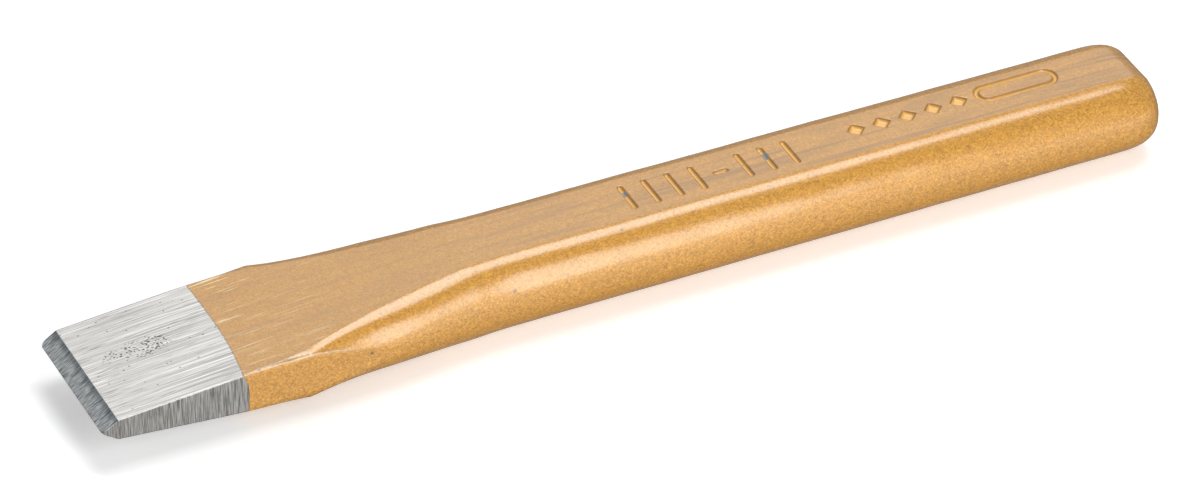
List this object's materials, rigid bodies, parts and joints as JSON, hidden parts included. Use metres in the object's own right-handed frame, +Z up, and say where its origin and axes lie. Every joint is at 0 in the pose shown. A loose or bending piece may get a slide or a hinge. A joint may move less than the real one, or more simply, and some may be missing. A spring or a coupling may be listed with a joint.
{
  "type": "flat cold chisel",
  "caption": "Short one-piece forged steel flat chisel with a ground, bevelled blade, a bowed-side shank and gold lacquer, for cutting metal and masonry by hammer.",
  "frame": {"origin": "middle of the bounding box at the surface the chisel lies on", "axes": "+X along the chisel towards the striking head, cutting edge at -X; +Z up from the flat of the shank it lies on; Y across the blade"},
  "size_m": [0.125, 0.0166, 0.0092],
  "materials": {
    "ground_steel": "ground tool steel with fine scratches, a bevelled cutting edge and small pits",
    "gold_lacquer": "semi-gloss gold lacquer with fine metallic grain over forged steel"
  },
  "bodies": {
    "root": {"steel_forging": "ground_steel", "lacquer_coat": "gold_lacquer"}
  },
  "joints": []
}
